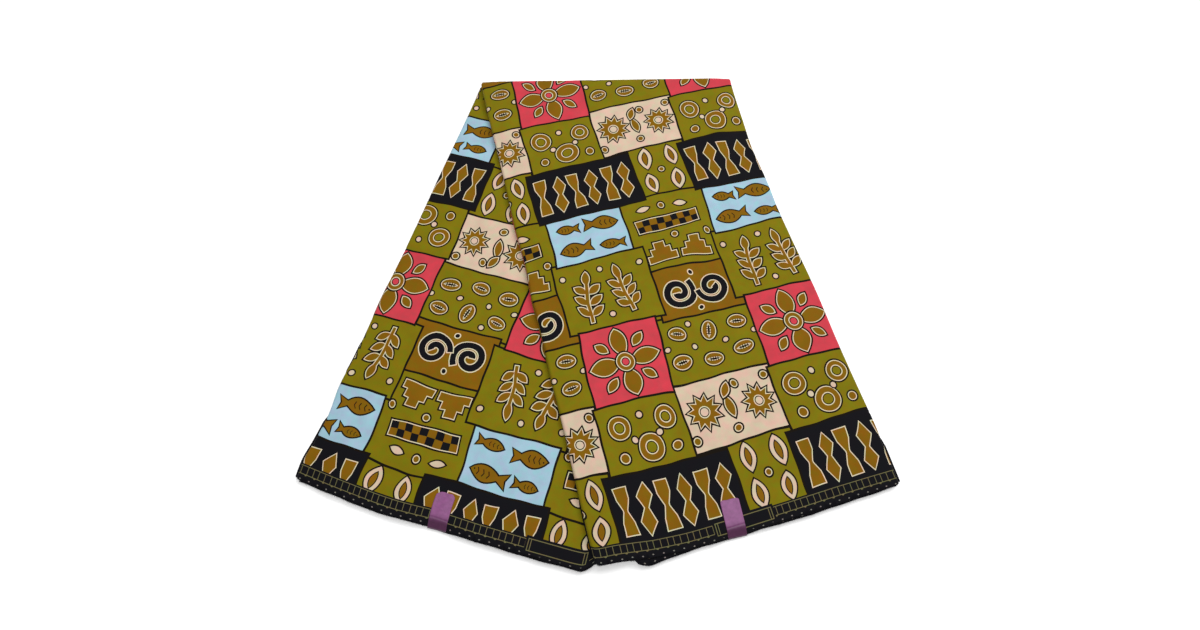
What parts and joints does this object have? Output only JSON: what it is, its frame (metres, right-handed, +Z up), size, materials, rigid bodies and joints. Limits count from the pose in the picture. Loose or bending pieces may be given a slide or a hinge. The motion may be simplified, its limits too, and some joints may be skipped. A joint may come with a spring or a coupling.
{
  "type": "folded kitenge fabric length",
  "caption": "Length of printed kitenge cotton, folded into panels and laid flat as two fanned lobes under one straight top fold, with a plain label on each hem.",
  "frame": {"origin": "on the surface the cloth lies on, under the middle of the folded cloth's bounding box", "axes": "+Z up, +X to the right across the two lobes, -Y towards the hems, +Y towards the straight top fold"},
  "size_m": [0.5751, 0.5803, 0.0145],
  "materials": {
    "printed_cotton": "wax-printed plain-weave cotton, crisp, with a faint sheen",
    "under_cotton": "black selvedge border of the same printed cotton",
    "purple_satin": "woven satin label, soft gloss"
  },
  "bodies": {
    "root": {"hidden_layers": "printed_cotton", "left_second_layer": "under_cotton", "left_panel": "printed_cotton", "right_second_layer": "under_cotton", "right_panel": "printed_cotton", "left_label": "purple_satin", "right_label": "purple_satin"}
  },
  "joints": []
}
